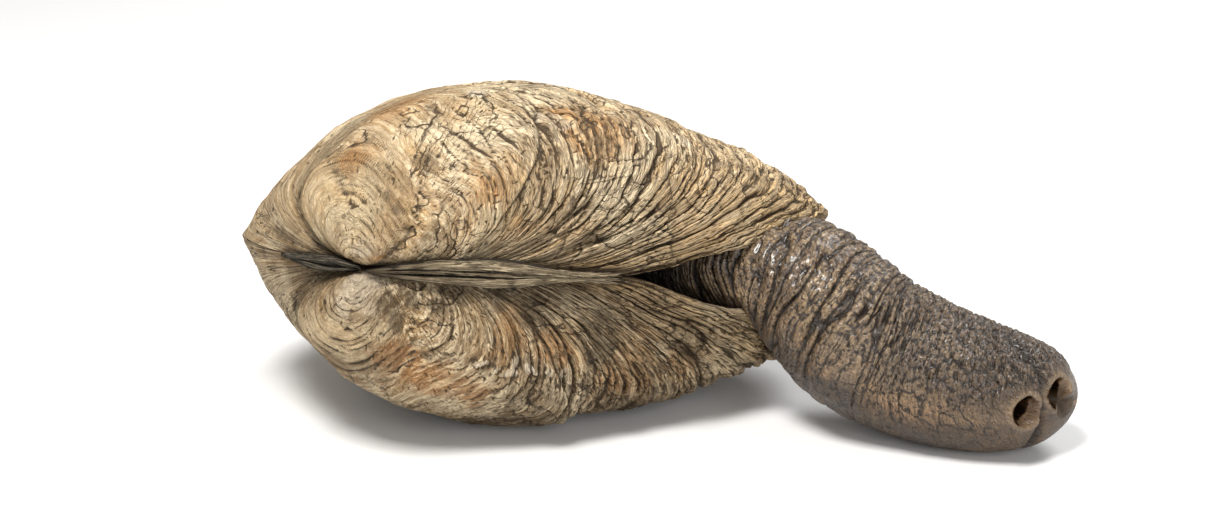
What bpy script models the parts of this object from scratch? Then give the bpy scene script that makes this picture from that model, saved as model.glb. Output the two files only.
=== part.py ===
"""Gaper clam lying on one valve: two hollow valves that meet at the beaks and gape behind, the worn
ligament behind the beaks, the dried strip in front of them, and the thick siphon on the ground.

Frame: +X runs from the front end to the siphon, +Y away from the hinge side, +Z up. The origin is on
the ground under the middle of the whole object. Lengths in the constants are in millimetres.
"""
import math

import bmesh
import bpy
import numpy as np

MM = 0.001

# Edge of a valve, from the beak along the hinge and round: along, across, half height of the gape
EDGE = (
    (0.0, 0.0, 0.0),
    (20.0, 1.2, 0.0),
    (45.0, 3.0, 0.0),
    (68.0, 7.0, 0.5),
    (84.0, 13.0, 6.0),
    (102.0, 23.0, 12.5),
    (119.0, 44.0, 18.0),
    (115.0, 70.0, 14.0),
    (92.0, 92.0, 4.0),
    (50.0, 104.0, 0.0),
    (8.0, 98.0, 0.0),
    (-24.0, 76.0, 0.0),
    (-38.5, 46.0, 0.0),
    (-30.0, 20.0, 0.0),
    (-11.0, 3.0, 0.0),
    (0.0, 0.0, 0.0),
)

# Growth: a valve is its edge, shrunk and turned about the hinge as far as the first small shell
FIRST_SIZE = 0.06
TURN_EARLY = 1.95
TURN_LATE = 0.69
TURN_FADE = 0.8
STRETCH_BACK = 1.12
STRETCH_FRONT = 0.95
SWELL_AT = (-38.0, -15.0, 15.0, 45.0, 75.0, 100.0, 124.0)
SWELL = (0.83, 0.92, 0.935, 0.96, 1.015, 1.06, 1.18)
UPPER_GAPE = 0.78
LOWER_GAPE = 1.05

# Growth bands, as sizes of the shell, how far the end of each band stands out, and worn pits
BANDS = (0.06, 0.15, 0.26, 0.37, 0.48, 0.58, 0.68, 0.77, 0.855, 0.93, 1.0)
BAND_LIP = 0.8
PITS = 14
PIT_DEPTH = 0.9
COLUMNS = 46

# Hollow inside: the same form drawn in towards a middle point
HOLLOW_MIDDLE = (42.0, 56.0, 0.0)
HOLLOW_SCALE = (0.962, 0.942, 0.935)
HOLLOW_SIZES = (0.30, 0.40, 0.52, 0.66, 0.80, 0.92, 1.0)
HALF_GAP = 0.15

# Lie of the shell on the ground: siphon end down, far side down
ROLL = math.radians(3.5)
PITCH = math.radians(11.0)
WORN_FLAT = 2.0

# Siphon: along, across, height over the ground, half width, half height
SIPHON = (
    (66.0, 57.0, 38.0, 9.0, 8.0),
    (80.0, 51.0, 38.5, 15.0, 13.0),
    (93.0, 43.5, 39.5, 17.3, 14.5),
    (104.5, 34.5, 40.6, 17.6, 15.0),
    (114.0, 27.7, 37.5, 18.7, 17.8),
    (122.2, 21.8, 31.0, 19.8, 19.6),
    (129.6, 18.2, 25.2, 20.5, 20.3),
    (139.1, 14.9, 21.0, 19.9, 19.6),
    (149.7, 10.4, 18.1, 18.9, 18.6),
    (159.6, 6.8, 16.7, 17.8, 17.3),
    (167.6, 4.2, 16.2, 16.4, 15.6),
    (174.0, 1.7, 15.9, 14.4, 13.4),
    (178.2, -1.0, 15.8, 10.4, 9.6),
    (180.2, -3.0, 15.8, 4.0, 3.8),
)
SIPHON_RINGS = 36
SIPHON_SIDES = 26
FOLD_DEPTH = 0.35
FACE_TURN = math.radians(46.0)
MOUTHS = ((168.5, -9.3, 16.8), (177.9, -2.9, 19.0))
MOUTH_WIDE = 3.9
MOUTH_DEEP = 9.0
CLEFT = (172.9, -5.6, 18.0)
CLEFT_SIZE = (5.0, 1.3, 15.0)

# Ligament: along, across, half height, half depth, in the valves' own frame
LIGAMENT = (
    (7.0, -5.7, 0.5, 0.8),
    (13.0, -4.8, 1.9, 1.4),
    (22.0, -3.0, 3.3, 1.9),
    (33.0, -1.2, 4.0, 2.0),
    (44.0, 0.0, 3.4, 2.0),
    (53.0, 1.4, 2.6, 1.8),
    (60.0, 2.6, 1.8, 1.5),
    (66.0, 3.8, 1.0, 1.0),
)
FRONT_STRIP = (
    (-24.0, 9.4, 0.7, 0.8),
    (-20.0, 5.6, 1.6, 1.4),
    (-15.0, 2.2, 2.4, 1.6),
    (-10.0, -0.2, 2.4, 1.6),
    (-6.0, -2.9, 1.5, 1.3),
    (-3.0, -5.6, 0.6, 0.8),
)
SOFT_GAP = 0.6

SHELL_COLOUR = (0.50, 0.40, 0.28, 1.0)
UNDER_COLOUR = (0.44, 0.37, 0.28, 1.0)
LIGAMENT_COLOUR = (0.20, 0.17, 0.12, 1.0)
SIPHON_COLOUR = (0.19, 0.14, 0.10, 1.0)


def smooth_step(low, high, value):
    """0 below low, 1 above high, and a smooth cubic between them."""
    share = np.clip((value - low) / (high - low), 0.0, 1.0)
    return share * share * (3.0 - 2.0 * share)


def curve_through(points, count):
    """Points on a smooth curve through the given ones. Knots are spaced by the root of each chord,
    the slope at a point is the spacing-weighted mean of its two chords, and each span is cubic."""
    given = np.asarray(points, float)
    chord = np.diff(given, axis=0)
    span = np.sqrt(np.linalg.norm(chord, axis=1))
    knot = np.concatenate(([0.0], np.cumsum(span)))
    rate = chord / span[:, None]
    slope = np.empty_like(given)
    slope[0] = rate[0]
    slope[-1] = rate[-1]
    before = span[:-1, None]
    after = span[1:, None]
    slope[1:-1] = (rate[:-1] * after + rate[1:] * before) / (before + after)
    place = np.linspace(0.0, knot[-1], count)
    index = np.clip(np.searchsorted(knot, place, side="right") - 1, 0, len(span) - 1)
    width = span[index][:, None]
    t = (place - knot[index])[:, None] / width
    start = (2 * t**3 - 3 * t**2 + 1) * given[index] + (t**3 - 2 * t**2 + t) * width * slope[index]
    end = (3 * t**2 - 2 * t**3) * given[index + 1] + (t**3 - t**2) * width * slope[index + 1]
    return start + end


def grown(edge, size):
    """Edge curve at an earlier size: shrunk, then turned about the hinge by an angle that grows with
    the logarithm of the shrinking, faster near the beak."""
    size = np.asarray(size, float)
    age = -np.log(size)
    turn = TURN_LATE * age + (TURN_EARLY - TURN_LATE) * TURN_FADE * (1.0 - np.exp(-age / TURN_FADE))
    power = np.where(edge[:, 0] > 0.0, STRETCH_BACK, STRETCH_FRONT)
    swell = np.interp(edge[:, 0], SWELL_AT, SWELL)
    gape = edge[:, 2] * size**0.7
    along = edge[:, 0] * size**power
    across = size * (edge[:, 1] * np.cos(turn) - gape * np.sin(turn))
    out = size * (edge[:, 1] * swell * np.sin(turn) + gape * np.cos(turn))
    return np.stack((along, across, out), axis=-1)


def outer_rows(edge, seeded):
    """Rows of the outer face from the beak to the edge, with the end of each growth band raised
    along the face's normal, more behind than in front, over low lumps and a few pits."""
    turn = np.linspace(0.0, 2.0 * math.pi, len(edge))
    rows = []
    lift = []
    for low, high in zip(BANDS[:-1], BANDS[1:]):
        waver = 0.006 * np.sin(3.0 * turn + 17.0 * high) + 0.004 * np.sin(7.0 * turn + 5.0 * high)
        waver *= high < 1.0
        for share, rise in ((0.12, 0.0), (0.62, 0.45), (1.0, 1.0)):
            size = low + (high - low) * share + waver
            rows.append(grown(edge, np.clip(size, FIRST_SIZE, 1.0)))
            lift.append(rise * BAND_LIP * smooth_step(0.08, 0.4, high) * (0.0 if high == 1.0 else 1.0))
    face = np.array(rows)
    along_row = np.roll(face, -1, axis=1) - np.roll(face, 1, axis=1)
    across_row = np.gradient(face, axis=0)
    normal = np.cross(across_row, along_row)
    normal /= np.maximum(np.linalg.norm(normal, axis=2, keepdims=True), 1e-9)
    from_beak = np.linalg.norm(face, axis=2)
    behind = smooth_step(-10.0, 70.0, face[..., 0])
    height = np.array(lift)[:, None] * (0.6 + 0.7 * behind)
    lumps = np.sin(face[..., 0] / 9.0 + 1.3) * np.sin(face[..., 1] / 11.0) * 0.35
    lumps += np.sin(face[..., 0] / 4.7 + face[..., 2] / 6.0) * np.sin(face[..., 1] / 5.3 + 2.0) * 0.2
    near_edge = np.linspace(0.0, 1.0, len(face))[:, None]
    pits = np.zeros(face.shape[:2])
    pits[seeded.integers(10, len(face) - 5, PITS), seeded.integers(6, len(edge) - 6, PITS)] = PIT_DEPTH
    height = (height + lumps - pits) * smooth_step(6.0, 26.0, from_beak) * smooth_step(1.0, 0.93, near_edge)
    face = face + normal * height[..., None]
    face[..., 2] = np.maximum(face[..., 2], HALF_GAP)
    return face


def hollow_rows(edge):
    """Rows of the inner face, from its deepest loop to the edge: the grown form drawn in towards the
    middle point, by its own amount along each axis."""
    middle = np.array(HOLLOW_MIDDLE)
    face = np.array([grown(edge, np.full(len(edge), size)) for size in HOLLOW_SIZES])
    face = middle + (face - middle) * np.array(HOLLOW_SCALE)
    face[..., 2] = np.maximum(face[..., 2], HALF_GAP)
    return face


def lie(points):
    """Turns points from the valves' frame to the way the shell lies, the beak still at zero."""
    pitch = np.array(((1.0, 0.0, 0.0),
                      (0.0, math.cos(PITCH), math.sin(PITCH)),
                      (0.0, -math.sin(PITCH), math.cos(PITCH))))
    roll = np.array(((math.cos(ROLL), 0.0, math.sin(ROLL)),
                     (0.0, 1.0, 0.0),
                     (-math.sin(ROLL), 0.0, math.cos(ROLL))))
    return points @ (roll @ pitch).T


def new_object(name, vertices, faces, colour, roughness):
    """Closed mesh object in the clam's collection, from points in millimetres."""
    mesh = bpy.data.meshes.new(name)
    mesh.from_pydata([tuple(point) for point in vertices * MM], [], faces)
    work = bmesh.new()
    work.from_mesh(mesh)
    bmesh.ops.remove_doubles(work, verts=work.verts, dist=0.00001)
    bmesh.ops.dissolve_degenerate(work, edges=work.edges, dist=0.00001)
    bmesh.ops.triangulate(work, faces=work.faces)
    bmesh.ops.recalc_face_normals(work, faces=work.faces)
    work.to_mesh(mesh)
    work.free()
    mesh.shade_smooth()
    mesh.set_sharp_from_angle(angle=math.radians(50.0))
    material = bpy.data.materials.new(name)
    material.use_nodes = True
    shader = material.node_tree.nodes["Principled BSDF"]
    shader.inputs["Base Color"].default_value = colour
    shader.inputs["Roughness"].default_value = roughness
    shader.inputs["Metallic"].default_value = 0.0
    mesh.materials.append(material)
    item = bpy.data.objects.new(name, mesh)
    clam.objects.link(item)
    return item


def strip_faces(first, second, closed):
    """Quads between two rows of vertex numbers."""
    count = len(first)
    last = count if closed else count - 1
    return [(first[i], first[(i + 1) % count], second[(i + 1) % count], second[i]) for i in range(last)]


def fan_faces(row, middle):
    """Triangles from a closed row of vertex numbers to one more vertex."""
    return [(row[i], row[(i + 1) % len(row)], middle) for i in range(len(row))]


def valve_points(edge, gape, seed):
    """Points and faces of one valve: outer face, flat edge, inner face, and a cap over each end."""
    edge = edge * (1.0, 1.0, gape)
    outer = outer_rows(edge, np.random.default_rng(seed))[:, :-1]
    inner = hollow_rows(edge)[:, :-1]
    rows = [row for row in outer] + [row for row in inner[::-1]]
    columns = outer.shape[1]
    points = np.concatenate(rows)
    number = np.arange(len(points)).reshape(len(rows), columns)
    faces = []
    for first, second in zip(number[:-1], number[1:]):
        faces += strip_faces(first, second, True)
    tip = outer[0].mean(axis=0)
    deep = inner[0].mean(axis=0)
    points = np.concatenate((points, [tip, deep]))
    faces += fan_faces(number[0], len(points) - 2)
    faces += fan_faces(number[-1], len(points) - 1)
    return points, faces


def ring_loft(centres, sides, ups, half_widths, half_heights, count):
    """Rows of points round a path: an ellipse at each centre in the plane of its two directions."""
    angle = np.linspace(0.0, 2.0 * math.pi, count, endpoint=False)
    wide = sides[:, None] * (half_widths[:, None] * np.cos(angle))[..., None]
    tall = ups[:, None] * (half_heights[:, None] * np.sin(angle))[..., None]
    return centres[:, None] + wide + tall


def tube_faces(rows, count):
    """Quads along a tube of rows and a fan at each end, to two further vertices."""
    number = np.arange(rows * count).reshape(rows, count)
    faces = []
    for first, second in zip(number[:-1], number[1:]):
        faces += strip_faces(first, second, True)
    faces += fan_faces(number[0], rows * count)
    faces += fan_faces(number[-1], rows * count + 1)
    return faces


def siphon_points():
    """Rows of the siphon: rings square to its path, their radii rising and falling in folds on the
    neck, with low lumps on top, and nothing below the ground."""
    path = curve_through(SIPHON, SIPHON_RINGS)
    centres = path[:, :3]
    ahead = np.gradient(centres, axis=0)
    ahead /= np.linalg.norm(ahead, axis=1, keepdims=True)
    sides = np.cross(ahead, (0.0, 0.0, 1.0))
    sides /= np.linalg.norm(sides, axis=1, keepdims=True)
    ups = np.cross(sides, ahead)
    order = np.arange(SIPHON_RINGS)
    on_neck = smooth_step(104.0, 114.0, centres[:, 0]) * smooth_step(172.0, 150.0, centres[:, 0])
    fold = FOLD_DEPTH * np.where(order % 2 == 0, 1.0, -1.0) * on_neck
    rows = ring_loft(centres, sides, ups, path[:, 3] + fold, path[:, 4] + fold, SIPHON_SIDES)
    outward = rows - centres[:, None]
    lumps = 0.02 * np.sin(rows[..., 0] * 1.7) * np.sin(rows[..., 1] * 1.1 + 0.7) * on_neck[:, None]
    rows = rows + outward * lumps[..., None]
    rows[..., 2] = np.maximum(rows[..., 2], 0.0)
    ends = np.array((centres[0] - ahead[0] * 1.5, centres[-1] + ahead[-1] * 0.8))
    return np.concatenate((rows.reshape(-1, 3), ends))


def strand_points(stations, count, sides_count):
    """Rows of a strand in the hinge groove, in the valves' frame, its front notched lengthwise."""
    path = curve_through(stations, count)
    centres = np.stack((path[:, 0], path[:, 1], np.zeros(count)), axis=1)
    depth_way = np.tile((0.0, -1.0, 0.0), (count, 1))
    height_way = np.tile((0.0, 0.0, 1.0), (count, 1))
    rows = ring_loft(centres, depth_way, height_way, path[:, 3], path[:, 2], sides_count)
    notch = np.where(np.arange(sides_count) % 3 == 0, 0.82, 1.0)[None, :, None]
    rows = centres[:, None] + (rows - centres[:, None]) * notch
    ends = np.array((centres[0] - (0.6, 0.0, 0.0), centres[-1] + (0.6, 0.0, 0.0)))
    return np.concatenate((rows.reshape(-1, 3), ends))


def swollen_copy(item, name):
    """Cutter: a copy of a valve with each vertex moved out along its normal."""
    mesh = item.data.copy()
    mesh.name = name
    for vertex, normal in zip(mesh.vertices, [v.normal.copy() for v in mesh.vertices]):
        vertex.co += normal * SOFT_GAP * MM
    return as_cutter(bpy.data.objects.new(name, mesh))


def as_cutter(item):
    """Moves an object to the cutters, where it is only a guide."""
    item.hide_render = True
    item.display_type = "WIRE"
    for holder in list(item.users_collection):
        holder.objects.unlink(item)
    cutters.objects.link(item)
    return item


def cut(item, cutter):
    """Takes one solid out of another with a Boolean that stays on the object."""
    step = item.modifiers.new(cutter.name, "BOOLEAN")
    step.operation = "DIFFERENCE"
    step.solver = "EXACT"
    step.object = cutter


def settle_cuts(item):
    """Makes an object's cuts part of its mesh and keeps the largest body, so that no crumb of flesh
    that the valves part from it is left."""
    bpy.context.view_layer.update()
    whole = bpy.data.meshes.new_from_object(item.evaluated_get(bpy.context.evaluated_depsgraph_get()))
    item.modifiers.clear()
    item.data = whole
    work = bmesh.new()
    work.from_mesh(whole)
    left = set(work.verts)
    bodies = []
    while left:
        reached = [left.pop()]
        body = []
        while reached:
            vertex = reached.pop()
            body.append(vertex)
            for link in vertex.link_edges:
                other = link.other_vert(vertex)
                if other in left:
                    left.remove(other)
                    reached.append(other)
        bodies.append(body)
    bodies.sort(key=len)
    for crumb in bodies[:-1]:
        bmesh.ops.delete(work, geom=crumb, context="VERTS")
    work.to_mesh(whole)
    work.free()


for old in list(bpy.data.objects):
    bpy.data.objects.remove(old)
clam = bpy.data.collections.new("gaper_clam")
cutters = bpy.data.collections.new("cutters")
bpy.context.scene.collection.children.link(clam)
bpy.context.scene.collection.children.link(cutters)

edge = curve_through(EDGE, COLUMNS + 1)
edge[:, 2] = np.maximum(edge[:, 2], 0.0)
upper_points, valve_faces = valve_points(edge, UPPER_GAPE, 3)
lower_points, valve_faces = valve_points(edge, LOWER_GAPE, 8)
upper = lie(upper_points)
lower = lie(lower_points * (1.0, 1.0, -1.0))
ground = lower[:, 2].min() + WORN_FLAT
siphon = siphon_points() + (0.0, 0.0, ground)

every = np.concatenate((upper, lower, siphon))
low = every.min(axis=0)
high = every.max(axis=0)
shift = -np.array(((low[0] + high[0]) / 2.0, (low[1] + high[1]) / 2.0, ground))
lower[:, 2] = np.maximum(lower[:, 2], ground)

upper_valve = new_object("upper_valve", upper + shift, valve_faces, SHELL_COLOUR, 0.75)
lower_valve = new_object("lower_valve", lower + shift, valve_faces, UNDER_COLOUR, 0.75)
siphon_item = new_object("siphon", siphon + shift, tube_faces(SIPHON_RINGS, SIPHON_SIDES), SIPHON_COLOUR, 0.45)
ligament = new_object("ligament", lie(strand_points(LIGAMENT, 16, 12)) + shift, tube_faces(16, 12),
                      LIGAMENT_COLOUR, 0.7)
front_strip = new_object("front_strip", lie(strand_points(FRONT_STRIP, 8, 9)) + shift, tube_faces(8, 9),
                         LIGAMENT_COLOUR, 0.8)

# The soft pieces stop just short of the valves
for valve_item in (upper_valve, lower_valve):
    cutter = swollen_copy(valve_item, "clear_" + valve_item.name)
    for soft in (siphon_item, ligament, front_strip):
        cut(soft, cutter)

# Two round mouths in the siphon's end, and the cleft that parts them
face_way = np.array((math.cos(FACE_TURN), -math.sin(FACE_TURN), 0.0))
from_ground = np.array((0.0, 0.0, ground)) + shift
for order, mouth in enumerate(MOUTHS):
    bpy.ops.mesh.primitive_cone_add(vertices=12, radius1=MOUTH_WIDE * MM, radius2=MOUTH_WIDE * 0.6 * MM,
                                    depth=(MOUTH_DEEP + 6.0) * MM)
    bore = bpy.context.object
    bore.name = "mouth_%d" % order
    bore.location = (np.array(mouth) + from_ground + face_way * (6.0 - MOUTH_DEEP) / 2.0) * MM
    bore.rotation_euler = (math.pi / 2.0, 0.0, math.pi / 2.0 + math.pi - FACE_TURN)
    cut(siphon_item, as_cutter(bore))
bpy.ops.mesh.primitive_cube_add(size=MM)
wedge = bpy.context.object
wedge.name = "cleft"
wedge.location = (np.array(CLEFT) + from_ground) * MM
wedge.rotation_euler = (0.0, 0.0, -FACE_TURN)
wedge.scale = CLEFT_SIZE
cut(siphon_item, as_cutter(wedge))

for soft in (siphon_item, ligament, front_strip):
    settle_cuts(soft)
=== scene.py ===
"""Looks of a weathered gaper clam: two chalky valves, the frayed ligament behind their beaks, the
dried strip in front of them, and the wet wrinkled siphon with its two mouths."""
import math

import bmesh
import bpy
import numpy as np
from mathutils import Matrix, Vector


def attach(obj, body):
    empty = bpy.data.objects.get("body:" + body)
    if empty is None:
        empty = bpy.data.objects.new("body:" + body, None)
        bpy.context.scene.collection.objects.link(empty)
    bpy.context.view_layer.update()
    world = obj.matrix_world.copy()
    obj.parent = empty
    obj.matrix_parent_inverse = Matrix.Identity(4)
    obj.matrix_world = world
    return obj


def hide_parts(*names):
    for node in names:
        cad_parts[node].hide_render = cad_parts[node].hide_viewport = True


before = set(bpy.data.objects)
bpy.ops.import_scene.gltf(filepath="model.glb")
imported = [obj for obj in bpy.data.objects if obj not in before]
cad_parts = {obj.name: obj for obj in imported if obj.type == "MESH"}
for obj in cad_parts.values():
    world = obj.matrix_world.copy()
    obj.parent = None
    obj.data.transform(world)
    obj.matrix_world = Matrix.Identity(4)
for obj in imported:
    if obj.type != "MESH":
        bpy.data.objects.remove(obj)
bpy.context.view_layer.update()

MM = 0.001
SAME_PLACE = 0.000002
NO_LENGTH = 1e-9

# Where the beaks meet, in millimetres, and how the shell lies
BEAK = np.array((-72.92, -45.30, 53.35))
ROLL = math.radians(3.5)
PITCH = math.radians(11.0)

# Edge of a valve, from the beak along the hinge and round: along, across, half height of the gape
EDGE = (
    (0, 0, 0), (20, 1.2, 0), (45, 3, 0), (68, 7, 0.5), (84, 13, 6), (102, 23, 12.5), (119, 44, 18),
    (115, 70, 14), (92, 92, 4), (50, 104, 0), (8, 98, 0), (-24, 76, 0), (-38.5, 46, 0),
    (-30, 20, 0), (-11, 3, 0), (0, 0, 0),
)
FIRST_SIZE = 0.06
TURN_EARLY = 1.95
TURN_LATE = 0.69
TURN_FADE = 0.8
STRETCH_BACK = 1.12
STRETCH_FRONT = 0.95
SWELL_AT = (-38.0, -15.0, 15.0, 45.0, 75.0, 100.0, 124.0)
SWELL = (0.83, 0.92, 0.935, 0.96, 1.015, 1.06, 1.18)
UPPER_GAPE = 0.78
LOWER_GAPE = 1.05
HOLLOW_MIDDLE = np.array((42.0, 56.0, 0.0))
HOLLOW_SCALE = np.array((0.962, 0.942, 0.935))
RIM_MIDDLE = np.array((42.0, 56.0, 10.0))
HALF_GAP = 0.12
RIM_SHARES = (0.12, 0.28, 0.44, 0.60, 0.76, 0.90)
GROWTH_LENGTH = 135.0

COLUMNS = 316
OUTER_ROWS = 272
INNER_ROWS = 30

# Siphon: along, across, height over the ground, half width, half height
SIPHON = (
    (66, 57, 38, 9, 8), (80, 51, 38.5, 15, 13), (93, 43.5, 39.5, 17.3, 14.5),
    (104.5, 34.5, 40.6, 17.6, 15), (114, 27.7, 37.5, 18.7, 17.8), (122.2, 21.8, 31, 19.8, 19.6),
    (129.6, 18.2, 25.2, 20.5, 20.3), (139.1, 14.9, 21, 19.9, 19.6), (149.7, 10.4, 18.1, 18.9, 18.6),
    (159.6, 6.8, 16.7, 17.8, 17.3), (167.6, 4.2, 16.2, 16.4, 15.6), (174, 1.7, 15.9, 14.4, 13.4),
    (178.2, -1, 15.8, 10.4, 9.6), (180.2, -3, 15.8, 4, 3.8),
)
SIPHON_RINGS = 430
SIPHON_SIDES = 220
SIPHON_RADIUS = 18.5
FACE_TURN = math.radians(46.0)
MOUTHS = ((168.5, -9.3, 16.8), (177.9, -2.9, 19.0))
MOUTH_WIDE = 3.8
MOUTH_DEEP = 8.5

STRAND_RINGS = 260
STRAND_SIDES = 72
STRAND_CURVE = 400
FIBRE_RINGS = 16
FIBRE_SIDES = 6

# Strands in the hinge groove: along, across, out, half height, half depth
UPPER_STRAND = (
    (-1, -8.6, 0.1, 0.1, 0.4), (3, -7.9, 0.6, 0.5, 0.9), (8, -6.6, 1.2, 0.85, 1.3),
    (14, -5.3, 1.75, 1.1, 1.6), (24.4, -3.4, 2.25, 1.45, 2), (31, -2.3, 2.35, 1.6, 2.2),
    (36.8, -1.3, 2, 1.6, 2.2), (43, -0.3, 1.35, 1.25, 1.9), (48.5, 0.7, 0.95, 0.85, 1.5),
    (52, 1.4, 0.8, 0.35, 0.8),
)
MIDDLE_STRAND = (
    (-0.4, -8.7, 0, 0.1, 0.4), (3, -8, 0, 0.35, 0.8), (10, -6.3, 0.05, 0.5, 1.1),
    (20, -4, 0.1, 0.6, 1.4), (32, -1.8, -0.1, 0.7, 1.6), (42, -0.1, -0.05, 0.6, 1.6),
    (50, 1, 0.1, 0.55, 1.3), (56, 2, 0.15, 0.25, 0.7),
)
LOWER_STRAND = (
    (-0.7, -8.5, -0.12, 0.1, 0.4), (3, -7.8, -0.6, 0.45, 0.9), (9.5, -6.3, -1.4, 0.65, 1.3),
    (19.4, -4.3, -1.85, 0.9, 1.8), (32, -2, -2.25, 1.2, 2.2), (38.3, -1, -1.95, 1.2, 2.2),
    (44, 0, -1.25, 0.95, 1.8), (49.5, 0.9, -0.7, 0.6, 1.4), (54, 1.7, -0.4, 0.3, 0.8),
)
FRONT_UPPER = (
    (-24.5, 9.4, 0.2, 0.3, 0.7), (-20, 5.4, 0.8, 0.8, 1.3), (-15, 1.9, 1.1, 1.1, 1.6),
    (-10, -0.7, 1, 1, 1.6), (-6, -3.4, 0.6, 0.7, 1.3), (-2.5, -6.2, 0.2, 0.3, 0.7),
)
FRONT_LOWER = (
    (-22, 7.6, -0.3, 0.3, 0.7), (-18, 4.1, -0.8, 0.7, 1.3), (-14, 1.3, -1.1, 0.9, 1.6),
    (-9.5, -0.9, -1, 0.8, 1.5), (-6, -3.1, -0.5, 0.6, 1.1), (-3, -5.6, -0.1, 0.3, 0.6),
)


def ease(low, high, value):
    """0 below low, 1 above high, and a smooth cubic between them."""
    share = np.clip((value - low) / (high - low), 0.0, 1.0)
    return share * share * (3.0 - 2.0 * share)


def chance(ix, iy, iz, seed):
    """A repeatable number from 0 to 1 for each whole-number place: its digits mixed and folded."""
    mixed = ((ix * 73856093) ^ (iy * 19349663) ^ (iz * 83492791) ^ (seed * 26544357)) & 0x7FFFFFFF
    mixed = ((mixed ^ (mixed >> 13)) * 1274126177) & 0x7FFFFFFF
    mixed = ((mixed ^ (mixed >> 16)) * 668265263) & 0x7FFFFFFF
    return (mixed ^ (mixed >> 15)) / 2147483647.0


def mottle(x, y, z, seed):
    """Smooth noise from 0 to 1: the chances at the corners of each unit cell, blended by a cubic."""
    x, y, z = np.broadcast_arrays(x, y, z)
    whole = [np.floor(part).astype(np.int64) for part in (x, y, z)]
    share = [part - low for part, low in zip((x, y, z), whole)]
    share = [part * part * (3.0 - 2.0 * part) for part in share]
    total = np.zeros(x.shape)
    for corner in range(8):
        step = (corner & 1, corner >> 1 & 1, corner >> 2 & 1)
        weight = np.ones(x.shape)
        for side, part in zip(step, share):
            weight = weight * (part if side else 1.0 - part)
        total += weight * chance(*[low + side for low, side in zip(whole, step)], seed)
    return total


def layers(x, y, z, seed, count=4):
    """Noise from 0 to 1 in several sizes, each half as large and half as strong as the last."""
    total = 0.0
    weight = 1.0
    whole = 0.0
    for order in range(count):
        scale = 2.0**order
        total = total + weight * mottle(x * scale, y * scale, z * scale, seed + 31 * order)
        whole += weight
        weight *= 0.5
    return total / whole


def cells(x, y, seed):
    """Random cells: distance to the nearest and next nearest of one random point in each unit
    square, and the nearest point's own chance."""
    x, y = np.broadcast_arrays(x, y)
    whole_x = np.floor(x).astype(np.int64)
    whole_y = np.floor(y).astype(np.int64)
    zero = np.zeros_like(whole_x)
    near = np.full(x.shape, 9.0)
    next_near = np.full(x.shape, 9.0)
    own = np.zeros(x.shape)
    for step_x in (-1, 0, 1):
        for step_y in (-1, 0, 1):
            cell_x = whole_x + step_x
            cell_y = whole_y + step_y
            gap_x = cell_x + chance(cell_x, cell_y, zero, seed) - x
            gap_y = cell_y + chance(cell_x, cell_y, zero + 1, seed) - y
            far = np.hypot(gap_x, gap_y)
            closer = far < near
            next_near = np.where(closer, near, np.minimum(next_near, far))
            own = np.where(closer, chance(cell_x, cell_y, zero + 2, seed), own)
            near = np.where(closer, far, near)
    return near, next_near, own


def curve_through(points, count):
    """Points on a smooth curve through the given ones. Knots are spaced by the root of each chord,
    the slope at a point is the spacing-weighted mean of its two chords, and each span is cubic."""
    given = np.asarray(points, float)
    chord = np.diff(given, axis=0)
    span = np.sqrt(np.linalg.norm(chord, axis=1))
    knot = np.concatenate(([0.0], np.cumsum(span)))
    rate = chord / span[:, None]
    slope = np.empty_like(given)
    slope[0] = rate[0]
    slope[-1] = rate[-1]
    before = span[:-1, None]
    after = span[1:, None]
    slope[1:-1] = (rate[:-1] * after + rate[1:] * before) / (before + after)
    place = np.linspace(0.0, knot[-1], count)
    index = np.clip(np.searchsorted(knot, place, side="right") - 1, 0, len(span) - 1)
    width = span[index][:, None]
    t = (place - knot[index])[:, None] / width
    start = (2 * t**3 - 3 * t**2 + 1) * given[index] + (t**3 - 2 * t**2 + t) * width * slope[index]
    end = (3 * t**2 - 2 * t**3) * given[index + 1] + (t**3 - t**2) * width * slope[index + 1]
    return start + end


def run_along(points):
    """Distance along a line of points from its first one to each."""
    return np.concatenate(([0.0], np.cumsum(np.linalg.norm(np.diff(points, axis=0), axis=1))))


def even_along(curve, count):
    """The same curve with its points spaced evenly along its length."""
    run = run_along(curve[:, :3])
    place = np.linspace(0.0, run[-1], count)
    return np.stack([np.interp(place, run, part) for part in curve.T], axis=1)


def grown(edge, size):
    """Edge curve at an earlier size: shrunk, then turned about the hinge by an angle that grows with
    the logarithm of the shrinking, faster near the beak."""
    age = -np.log(size)
    turn = TURN_LATE * age + (TURN_EARLY - TURN_LATE) * TURN_FADE * (1.0 - np.exp(-age / TURN_FADE))
    power = np.where(edge[:, 0] > 0.0, STRETCH_BACK, STRETCH_FRONT)
    swell = np.interp(edge[:, 0], SWELL_AT, SWELL)
    gape = edge[:, 2] * size**0.7
    along = edge[:, 0] * size**power
    across = size * (edge[:, 1] * np.cos(turn) - gape * np.sin(turn))
    out = size * (edge[:, 1] * swell * np.sin(turn) + gape * np.cos(turn))
    return np.stack((along, across, out), axis=-1)


def lie(points):
    """Turns points from the valves' frame to the way the shell lies, and puts the beak in place."""
    pitch = np.array(((1.0, 0.0, 0.0),
                      (0.0, math.cos(PITCH), math.sin(PITCH)),
                      (0.0, -math.sin(PITCH), math.cos(PITCH))))
    roll = np.array(((math.cos(ROLL), 0.0, math.sin(ROLL)),
                     (0.0, 1.0, 0.0),
                     (-math.sin(ROLL), 0.0, math.cos(ROLL))))
    return points @ (roll @ pitch).T + BEAK


def unit(vectors):
    """Vectors divided by their lengths."""
    return vectors / np.maximum(np.linalg.norm(vectors, axis=-1, keepdims=True), NO_LENGTH)


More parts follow.
